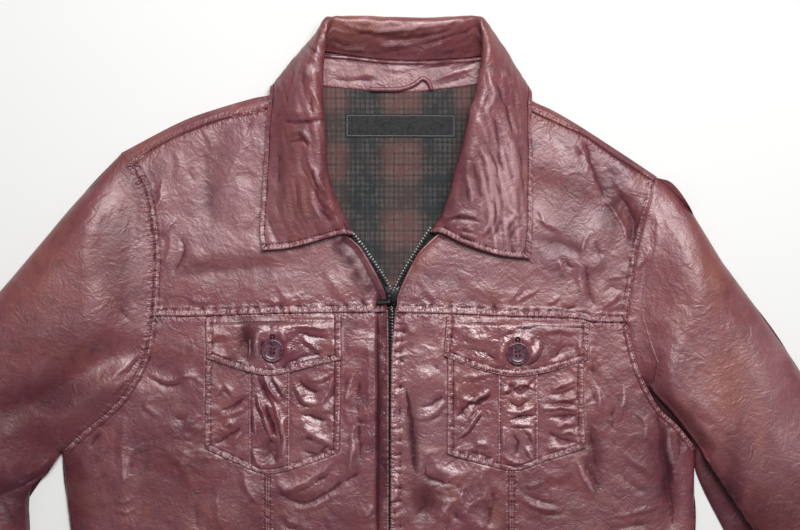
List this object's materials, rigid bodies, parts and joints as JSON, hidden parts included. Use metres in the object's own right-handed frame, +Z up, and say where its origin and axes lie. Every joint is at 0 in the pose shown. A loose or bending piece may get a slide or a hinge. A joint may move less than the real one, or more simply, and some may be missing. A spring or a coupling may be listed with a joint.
{
  "type": "worn leather jacket",
  "caption": "Worn brown leather jacket with collar, flap pockets, zip front and plaid lining, laid flat on its back with the collar open.",
  "frame": {"origin": "on the resting surface, under the zip slider on the garment's centre line", "axes": "+X towards the wearer's left sleeve, +Y towards the collar, +Z up out of the garment's front"},
  "size_m": [1.0459, 0.734, 0.0362],
  "materials": {
    "leather": "worn, semi-gloss on the ridges",
    "leather_back": "worn, satin",
    "lining": "woven shadow check",
    "label_weave": "bare black weave",
    "zip_tape": "black tape with dark metal teeth",
    "gunmetal": "dark metal, worn bright at the edges",
    "horn": "marbled, polished"
  },
  "bodies": {
    "jacket": {"front_yoke_left": "leather", "front_yoke_right": "leather", "front_side_left": "leather", "front_side_right": "leather", "front_centre_left": "leather", "front_centre_right": "leather", "waistband_front_left": "leather", "waistband_front_right": "leather", "sleeve_top_left": "leather", "sleeve_top_right": "leather", "cuff_left": "leather", "cuff_right": "leather", "pocket_left": "leather", "pocket_right": "leather", "pocket_strip_left": "leather", "pocket_strip_right": "leather", "flap_left": "leather", "flap_right": "leather", "collar": "leather", "neck_facing": "leather", "hanger_loop": "leather", "back_panel": "leather_back", "back_yoke": "leather_back", "sleeve_under_left": "leather_back", "sleeve_under_right": "leather_back", "waistband_back": "leather_back", "lining_back": "lining", "label": "label_weave", "zip_chain_left": "zip_tape", "zip_chain_right": "zip_tape", "zip_slider": "gunmetal", "pocket_button_left": "horn", "pocket_button_right": "horn"},
    "pull_tab": {"zip_pull_tab": "gunmetal"}
  },
  "joints": [
    {"name": "pull_tab_hinge", "type": "hinge", "parent": "jacket", "child": "pull_tab", "pos_m": [0.001, -0.001, 0.015], "axis": [0, 1, 0], "range_deg": [0, 165]}
  ]
}
